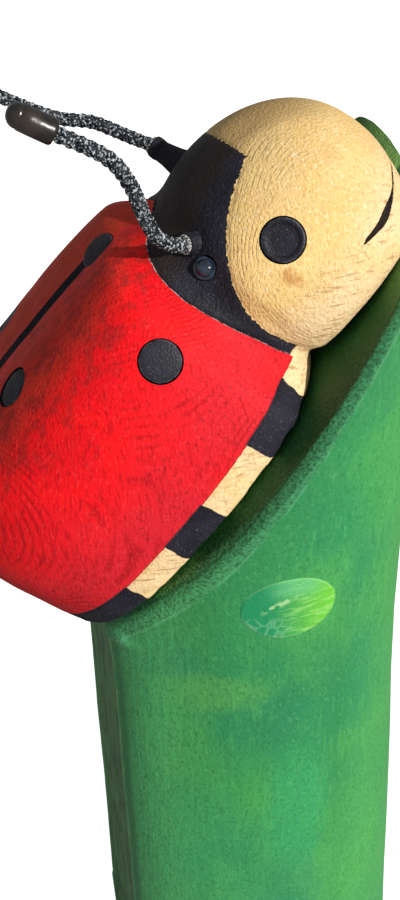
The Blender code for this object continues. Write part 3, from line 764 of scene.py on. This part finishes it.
def striped(paint, x, wobble, cream, black):
    """Cream and black lengths along the rim."""
    place = x + wobble
    dark = place.band(0.085, 0.025, 0.0004).most(place.band(-0.0265, 0.0255, 0.0004))
    dark = dark.most(place.ramp(-0.106, -0.1068))
    dark = dark.least(place.band(-0.2135, 0.0022, 0.0005) * -1 + 1)
    return paint.mix(dark, cream, black), dark


def above_rim(x, z):
    return z + (x * -1 + COLLAR) * RIM_SLOPE - RIM_HEIGHT


def shell_paint():
    paint = Paint("shell_paint")
    x, y, z = paint.axes(paint.along)
    east, north, _ = paint.axes(paint.place)
    colour = paint.mix(paint.grain(20, 3).ramp(0.36, 0.66), (0.94, 0.009, 0.011), (0.80, 0.008, 0.014))
    dusty = z.ramp(0.150, 0.045) * (paint.grain(16, 3).ramp(0.25, 0.60) * 0.5 + 0.30)
    colour = paint.mix(dusty, colour, (0.60, 0.020, 0.034))
    # Painted shade: the top of the back, turned away from the key lamp, is painted a browner, darker red
    painted_shade_on_top = z.ramp(0.168, 0.190) * (paint.grain(26, 3).ramp(0.25, 0.60) * 0.5 + 0.5)
    colour = paint.mix(painted_shade_on_top * 0.60, colour, (0.42, 0.055, 0.026))
    # Darker streaks high on the shell, towards its top
    dark_streaks_high_up = z.ramp(0.135, 0.175) * paint.grain(75, 4, (1.4, 1.4, 0.4), (0, 0.25, 0)).ramp(0.46, 0.64)
    colour = paint.mix(dark_streaks_high_up * 0.60, colour, (0.26, 0.022, 0.020))
    wander = (paint.grain(9, 1) - 0.5) * 0.012 + (paint.grain(60, 2) - 0.5) * 0.0012
    ring = (distance((east, north), RINGS_FROM) + wander) * 2400
    rings = (ring.wave() * 0.5 + 0.5).ramp(0.35, 0.98)
    rings = rings * paint.grain(24, 3, (1, 1, 1), (0.4, 0, 0)).ramp(0.42, 0.66)
    colour = paint.mix(rings * z.ramp(0.19, 0.15) * 0.60, colour, (0.36, 0.006, 0.010))
    hairs = paint.grain(260, 2, (1.5, 1.5, 0.22), (0, 0.25, 0))
    colour = paint.mix(hairs.ramp(0.52, 0.68) * 0.50, colour, (0.34, 0.006, 0.012))
    along_grain = (1.4, 1.4, 0.5), (0, 0.25, 0)
    colour = paint.speck(0.20, colour, (0.95, 0.085, 0.075), (0.55, 0.68), 380, 3, *along_grain)
    pepper = paint.grain(330, 2, (1, 1, 1), (0.9, 0.3, 0)).ramp(0.62, 0.70) * z.ramp(0.150, 0.060)
    colour = paint.mix(pepper * 0.62, colour, (0.16, 0.010, 0.022))
    # Painted shade: the shell's left half, beyond the midline, is painted a browner red
    painted_shade_far_side = (y - MIDLINE).ramp(0.004, 0.012)
    colour = paint.mix(painted_shade_far_side * 0.55, colour, (0.50, 0.045, 0.015))

    black = charcoal_coat(paint)
    ragged = (paint.grain(150, 2) - 0.5) * 0.0022
    groove_zone = x.ramp(GROOVE_FRONT, GROOVE_FRONT - 0.001) * z.ramp(GROOVE_FOOT, GROOVE_FOOT + 0.01)
    # Painted shade: a dark brown strip along the near edge of the midline groove
    beside = (y + ragged).band(MIDLINE - GROOVE_HALF_WIDTH - 0.0008, 0.0014, 0.0008)
    colour = paint.mix(beside * groove_zone, colour, (0.11, 0.025, 0.012))
    groove = (y + ragged * 0.6).band(MIDLINE, GROOVE_HALF_WIDTH, 0.0004)
    colour = paint.mix(groove * groove_zone, colour, black)
    cream, _ = bare_coat(paint)
    cream = paint.speck(0.35, cream, (0.40, 0.24, 0.11), (0.55, 0.68), 170, 2, (0.25, 1, 3.0), (0, 0.1, 0))
    painted_over = (z + (paint.grain(70, 2) - 0.5) * 0.004).ramp(0.0026, 0.0018)
    rim, dark = striped(paint, x, (paint.grain(55, 2) - 0.5) * 0.009, cream, black)
    from_rim = above_rim(x, z) + ragged * 0.8 + dark * -0.0016
    rim = paint.mix(painted_over, rim, (0.07, 0.33, 0.10))
    colour = paint.mix(from_rim.ramp(0.0005, -0.0004), colour, rim)
    colour = paint.mix(from_rim.band(0.0006, 0.0006, 0.0004) * 0.5, colour, (0.10, 0.02, 0.02))

    height = hairs * 0.0005 + paint.grain(420, 2) * 0.0006 + rings * -0.00015
    return paint.finish(colour, paint.grain(40, 2) * 0.3 + 0.40, height, gloss=0.07)


def head_paint():
    paint = Paint("head_paint")
    x, y, z = paint.axes(paint.along)
    black = charcoal_coat(paint)
    coat, stipple = bare_coat(paint)
    chipped = (paint.grain(260, 2) - 0.5) * 0.0042
    front, round_cheek = cheek_mask(paint, chipped)
    arcs = ((round_cheek + (paint.grain(18, 2) - 0.5) * 0.010) * 2100).wave().ramp(0.30, 0.95)
    arcs = arcs * paint.grain(70, 2, (1, 1, 0.5)).ramp(0.42, 0.62)
    arcs = arcs * front.ramp(0.044, 0.010) * front.ramp(0.0, 0.003)
    coat = paint.mix(arcs * 0.32, coat, (0.45, 0.27, 0.10))
    from_knot = distance((x, y, z), KNOT, (0.8, 1, 1.5))
    knot = (from_knot + (paint.grain(120, 3) - 0.5) * 0.016).ramp(0.0100, 0.001)
    coat = paint.mix(knot * 0.75, coat, (0.50, 0.21, 0.05))
    from_blush = distance((x, y, z), BLUSH)
    blush = (from_blush + (paint.grain(90, 2) - 0.5) * 0.012).ramp(0.016, 0.0)
    coat = paint.mix(blush * 0.30, coat, (0.62, 0.33, 0.11))

    side = abs(y)
    level = side.ramp(*CORNER_ZONE) * CORNER_RISE + side.ramp(*MIDDLE_ZONE) * MIDDLE_RISE + SMILE_LEVEL
    spread = (((side - THICKEST) / THICK_REACH) ** 2 * -1).step("EXPONENT")
    half = (spread * SMILE_THICK + SMILE_THIN) * side.ramp(*SMILE_END)
    mouth = (abs(z - level) + (paint.grain(300, 1) - 0.5) * 0.0012 - half).ramp(0.0003, -0.0003)
    mouth = mouth * x.ramp(SMILE_BACK - 0.001, SMILE_BACK + 0.001)
    coat = paint.mix(mouth, coat, (0.022, 0.014, 0.012))

    # Painted shade over the crest, on the black collar and on the cream face
    black = painted_shade_over_crest(paint, black, (0.024, 0.017, 0.013))
    coat = painted_shade_over_crest(paint, coat, (0.46, 0.30, 0.125))
    colour = paint.mix(front.ramp(-0.0002, 0.0002), black, coat)
    stripe_zone = (above_rim(x, z) - 0.004).ramp(0.0005, -0.0005)
    colour = paint.mix(stripe_zone, colour, coat)
    height = stipple * 0.0011 + arcs * -0.00025 + paint.grain(700, 1) * 0.0004
    roughness = front.ramp(-0.001, 0.001) * 0.14 + (paint.grain(40, 2) * 0.2 + 0.46)
    return paint.finish(colour, roughness, height, gloss=0.15)


def plain_charcoal():
    paint = Paint("charcoal_paint")
    height = paint.grain(420, 2) * 0.0005
    return paint.finish(charcoal_coat(paint), paint.grain(60, 2) * 0.2 + 0.48, height, gloss=0.15)


def mottled(name, scale, fade, first, second, roughness, bump_scale, bump_height, gloss=0.22):
    """Two shades mingled by one grain, with a fine bump."""
    paint = Paint(name)
    colour = paint.mix(paint.grain(scale).ramp(*fade), first, second)
    return paint.finish(colour, roughness, paint.grain(bump_scale) * bump_height, gloss)


charcoal = plain_charcoal()
# The shell's cut front edge, where the paint is rubbed to the pale wood
worn_edge = mottled("worn_edge", 300, (0.42, 0.62), (0.10, 0.05, 0.06), (0.40, 0.31, 0.31), 0.6, 500, 0.0004)
shell_columns = skin_points([TAIL] * AROUND, border, SHELL_ROWS, -1)
head_columns = skin_points(border, [SNOUT] * AROUND, HEAD_ROWS, 0)
shell_bm = wrapped_skin(AROUND, SHELL_ROWS + 3, lambda j, row: shell_columns[j][row])
head_bm = wrapped_skin(AROUND, HEAD_ROWS + 3, lambda j, row: head_columns[j][row])
carve(shell_bm, shell_relief)
carve(head_bm, head_relief)
for face in shell_bm.faces:
    middle = face.calc_center_median()
    face.material_index = int(middle.x > WALL_START and middle.z > WALL_FOOT and face.normal.x > 0.75)
for skin in (shell_bm, head_bm):
    bmesh.ops.transform(skin, matrix=PERCH, verts=skin.verts)
shell = finished("carved_shell", shell_bm, shell_paint(), worn_edge)
head = finished("carved_head", head_bm, head_paint())
SPOT_SEAT_RADIUS, EYE_SEAT_RADIUS = SPOT_RADIUS + POCKET_CLEARANCE, EYE_RADIUS + POCKET_CLEARANCE
SCREW_SEAT_RADIUS = SCREW_FLANGE + 0.0004
cut(shell, [pocket("spot_pocket", seat, SPOT_SEAT_RADIUS, SPOT_POCKET) for seat in SPOTS.values()])


def boss(side):
    """A carved stub that a feeler is set in, spreading where it grows out of the collar."""
    foot, top = [Vector(end) for end in BOSSES[side]]
    length = (top - foot).length
    profile = [(0.024, -0.006), (0.021, 0.0)]
    for share in (0.15, 0.3, 0.45, 0.6, 0.72):
        profile.append((0.0086 + 0.0124 * (1 - share) ** 1.7, length * share))
    profile += [(0.0092, length * 0.82), (0.0097, length * 0.91), (0.0093, length - 0.0009)]
    profile += [(0.0084, length), (0, length)]
    bm = turned(profile, 64)
    set_up(bm, foot, top - foot)
    bmesh.ops.subdivide_edges(bm, edges=bm.edges, cuts=1)
    carve(bm, lambda place: 0.0005 * lumps(place, 0.008))
    return "UNION", added("boss_" + side, bm, charcoal)


head_tools = [boss(side) for side in BOSSES]
for side, hand in HANDS:
    head_tools.append(pocket("eye_pocket", mirrored(EYE, hand), EYE_SEAT_RADIUS, EYE_POCKET))
    head_tools.append(pocket("screw_pocket", mirrored(SCREW, hand), SCREW_SEAT_RADIUS, SCREW_POCKET))
    foot, top = [Vector(end) for end in BOSSES[side]]
    head_tools.append(pocket("rope_hole", (top, top - foot), ROPE_HOLE, ROPE_SET + 0.0005))
cut(head, head_tools)
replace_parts(shell, "abdomen", "elytron_right", "elytron_left")
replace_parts(head, "pronotum", "head")


# ---- Spots and eyes ----
# Turned wooden discs glued into round pockets and painted blue-black. A spot is slightly domed with a
# rubbed chamfer, and an eye is dished inside a raised ring.
def disc_paint(name, radius, ring_at):
    """Black, with a pale rubbed edge, turning marks, and a dark ring where it lies within the radius."""
    paint = Paint(name)
    uv = Term(paint.tree, paint.node("ShaderNodeUVMap").outputs[0])
    from_centre, _, _ = paint.axes(uv)
    coat = charcoal_coat(paint)
    edge = from_centre.ramp(radius - 0.0016, radius - 0.0006) * paint.grain(180, 2).ramp(0.35, 0.6)
    coat = paint.mix(edge * 0.55, coat, (0.13, 0.13, 0.16))
    marks = (from_centre * 2600).wave() * 0.00003
    ring = from_centre.band(ring_at, 0.0008, 0.0007)
    coat = paint.mix(ring * 0.6, coat, (0.006, 0.006, 0.009))
    return paint.finish(coat, paint.grain(90, 2) * 0.25 + 0.40, marks + paint.grain(500, 2) * 0.0006)


def disc(node, profile, seat, material):
    bm = turned(profile)
    uv = bm.loops.layers.uv.new("from_centre")
    for face in bm.faces:
        for loop in face.loops:
            loop[uv].uv = (math.hypot(loop.vert.co.x, loop.vert.co.y), 0)
    set_up(bm, *seat)
    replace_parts(finished(node + "_disc", bm, material, sharp=50), node)


NO_RING = 0.05
EYE_RING = EYE_RADIUS - 0.0042
spot_black = disc_paint("spot_black", SPOT_RADIUS, NO_RING)
eye_black = disc_paint("eye_black", EYE_RADIUS, EYE_RING)
SPOT_PROFILE = [(SPOT_RADIUS, -0.0072), (SPOT_RADIUS, -0.0024), (SPOT_RADIUS - 0.0003, -0.0017),
                (SPOT_RADIUS - 0.0010, -0.0012), (SPOT_RADIUS - 0.0028, -0.0009)]
SPOT_PROFILE += [(SPOT_RADIUS * share, -0.0002 - 0.0008 * share * share) for share in (0.7, 0.5, 0.3, 0.1, 0)]
EYE_PROFILE = [(EYE_RADIUS, -0.0084), (EYE_RADIUS, -0.0016), (EYE_RADIUS - 0.0004, -0.0007),
               (EYE_RADIUS - 0.0012, -0.0004), (EYE_RADIUS - 0.0030, -0.0004), (EYE_RADIUS - 0.0038, -0.0008),
               (EYE_RADIUS - 0.0047, -0.0016), (EYE_RADIUS * 0.5, -0.0016), (EYE_RADIUS * 0.2, -0.0015),
               (0, -0.0015)]
for name, seat in SPOTS.items():
    disc(name, SPOT_PROFILE, seat, spot_black)
for side, hand in HANDS:
    disc("eye_" + side, EYE_PROFILE, mirrored(EYE, hand), eye_black)


# ---- Feelers ----
# Two lengths of braided black cord with pale flecks, stiffened with glue and set in the bosses, each with
# a moulded black cap. A frayed end shows as a pale ring where the cord enters its boss.
ROPE_RADIUS, BRAID_PITCH, STRANDS = 0.0062, 0.030, 8
STRAND_RADIUS, STRAND_INSET, WEAVE_DEPTH, CORE_INSET = 0.0020, 0.0024, 0.0005, 0.0022
FRAYED_PROFILE = ((0.0058, -0.0008), (0.0072, -0.0004), (0.0078, 0.0010), (0.0072, 0.0022), (0.0058, 0.0026))
FEELERS = {
    "right": ((0.1425, -0.0765, 0.1655), (0.1435, -0.0835, 0.1810), (0.1525, -0.0890, 0.2000),
              (0.1680, -0.0945, 0.2240), (0.1755, -0.0970, 0.2500), (0.1690, -0.0980, 0.2890)),
    "left": ((0.1500, 0.0805, 0.2015), (0.1435, 0.0865, 0.2210), (0.1380, 0.0890, 0.2360),
             (0.1240, 0.0920, 0.2580), (0.1150, 0.0950, 0.2820), (0.1040, 0.0970, 0.3280)),
}


def smooth_route(points, steps):
    """Points along one smooth curve through the given ones."""
    points = [Vector(point) for point in points]
    padded = [2 * points[0] - points[1], *points, 2 * points[-1] - points[-2]]
    route = []
    for before, start, end, after in zip(padded, padded[1:], padded[2:], padded[3:]):
        for step in range(steps):
            t = step / steps
            bend = 2 * before - 5 * start + 4 * end - after
            twist = 3 * start - before - 3 * end + after
            route.append(0.5 * (2 * start + (end - before) * t + bend * t * t + twist * t ** 3))
    return route + [points[-1]]


def tube(points, radii):
    """The mesh of one strand along its points."""
    curve = bpy.data.curves.new("strand", "CURVE")
    curve.dimensions = "3D"
    curve.bevel_depth = 1.0
    curve.bevel_resolution = 1
    curve.use_fill_caps = True
    spline = curve.splines.new("POLY")
    spline.points.add(len(points) - 1)
    for target, point, radius in zip(spline.points, points, radii):
        target.co = (*point, 1)
        target.radius = radius
    strand = bpy.data.objects.new("strand", curve)
    mesh = bpy.data.meshes.new_from_object(strand)
    bpy.data.objects.remove(strand)
    return mesh


def framed(route):
    """Each point with two directions across the route that never twist about it."""
    side = (route[1] - route[0]).orthogonal().normalized()
    frames = []
    for before, point, after in zip([route[0], *route], route, [*route[1:], route[-1]]):
        along = (after - before).normalized()
        side = (side - along * side.dot(along)).normalized()
        frames.append((point, side, along.cross(side)))
    return frames


def braid(side):
    foot, top = [Vector(end) for end in BOSSES[side]]
    route = [top - (top - foot).normalized() * ROPE_SET, *smooth_route((top, *FEELERS[side]), 34)]
    frames = framed(route)
    run = [0.0]
    for start, end in zip(route, route[1:]):
        run.append(run[-1] + (end - start).length)
    bm = bmesh.new()
    for strand in range(STRANDS):
        hand = 1 if strand % 2 else -1
        offset = 2 * math.pi * (strand // 2) / (STRANDS / 2)
        points = []
        for (point, across, over), length in zip(frames, run):
            turn_angle = hand * 2 * math.pi * length / BRAID_PITCH + offset
            weave = hand * math.cos(STRANDS / 2 * turn_angle)
            radius = ROPE_RADIUS - STRAND_INSET + WEAVE_DEPTH * weave
            sideways = across * radius * math.cos(turn_angle)
            points.append(point + sideways + over * radius * math.sin(turn_angle))
        mesh = tube(points, [STRAND_RADIUS] * len(points))
        bm.from_mesh(mesh)
        bpy.data.meshes.remove(mesh)
    core = tube(route, [ROPE_RADIUS - CORE_INSET] * len(route))
    bm.from_mesh(core)
    bpy.data.meshes.remove(core)
    bmesh.ops.remove_doubles(bm, verts=bm.verts, dist=1e-7)
    ring = turned(FRAYED_PROFILE, 72)
    carve(ring, lambda place: 0.0006 * lumps(place, 0.0012))
    bmesh.ops.transform(ring, matrix=facing(top, top - foot), verts=ring.verts)
    mesh = bpy.data.meshes.new("frayed_ring")
    ring.to_mesh(mesh)
    ring.free()
    whole = len(bm.faces)
    bm.from_mesh(mesh)
    bpy.data.meshes.remove(mesh)
    bm.faces.ensure_lookup_table()
    for face in bm.faces[whole:]:
        face.material_index = 1
    bmesh.ops.recalc_face_normals(bm, faces=bm.faces)
    bmesh.ops.transform(bm, matrix=PERCH, verts=bm.verts)
    return bm, route


def cord_paint():
    paint = Paint("cord_fibres")
    colour = paint.mix(paint.grain(120, 3).ramp(0.4, 0.65), (0.006, 0.010, 0.016), (0.026, 0.034, 0.046))
    colour = paint.speck(0.9, colour, (0.47, 0.50, 0.52), (0.53, 0.62), 560, 2, (1, 0.5, 1), (0.4, 0.6, 0))
    return paint.finish(colour, 0.85, paint.grain(600, 2) * 0.0012)


def cap_paint():
    paint = Paint("moulded_cap")
    colour = paint.mix(paint.grain(60, 2).ramp(0.35, 0.7), (0.012, 0.011, 0.011), (0.035, 0.026, 0.022))
    return paint.finish(colour, paint.grain(120, 2) * 0.2 + 0.18, paint.grain(160, 2) * 0.0003, gloss=0.5)


cord, moulding = cord_paint(), cap_paint()
frayed = mottled("frayed_fibres", 620, (0.42, 0.58), (0.10, 0.10, 0.11), (0.66, 0.65, 0.62), 0.9, 700, 0.0014)
CAP_PROFILE = [(0.0072, 0.0), (0.0084, 0.0003), (0.0094, 0.0012), (0.0097, 0.003), (0.0098, 0.0180),
               (0.0096, 0.0258), (0.0092, 0.0262), (0.0090, 0.0267), (0.0092, 0.0272), (0.0091, 0.0284),
               (0.0086, 0.0306), (0.0074, 0.0326), (0.0058, 0.0342), (0.0037, 0.0354), (0.0018, 0.0359),
               (0, 0.0359)]
for side in BOSSES:
    bm, route = braid(side)
    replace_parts(finished("braid_" + side, bm, cord, frayed), "feeler_" + side)
    along = (route[-1] - route[-2]).normalized()
    cap = turned(CAP_PROFILE, 64)
    set_up(cap, route[-1] + along * CUT_GAP, along)
    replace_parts(finished("moulded_cap_" + side, cap, moulding, sharp=60), "cap_" + side)


# ---- Screw caps ----
# A glossy black dome with a flange, moulded in one piece. One is pressed into a shallow recess over
# the screw behind each eye.
# Navy paint; its blue is partly a painted reflection of the sky on the gloss
screw_navy_and_painted_sky = mottled("screw_navy_and_painted_sky", 200, (0.4, 0.7), (0.007, 0.012, 0.022), (0.020, 0.040, 0.075),
                      0.14, 200, 0.0003, gloss=1.0)
SCREW_RADIUS, SCREW_COLLAR, SCREW_DOME = 0.0070, 0.0012, 0.0050
SCREW_PROFILE = [(SCREW_FLANGE, -0.0040), (SCREW_FLANGE, 0.0002), (0.0091, 0.0006), (0.0080, 0.0009)]
SCREW_PROFILE += [(0.0071, 0.0011)]
for degrees in (10, 25, 40, 55, 70, 82):
    tilt = math.radians(degrees)
    SCREW_PROFILE.append((SCREW_RADIUS * math.cos(tilt), SCREW_COLLAR + SCREW_DOME * math.sin(tilt)))
SCREW_PROFILE.append((0, SCREW_COLLAR + SCREW_DOME))
for side, hand in HANDS:
    bm = turned(SCREW_PROFILE, 48)
    set_up(bm, *mirrored(SCREW, hand))
    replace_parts(finished("screw_cap_" + side, bm, screw_navy_and_painted_sky, sharp=60), "screw_" + side)
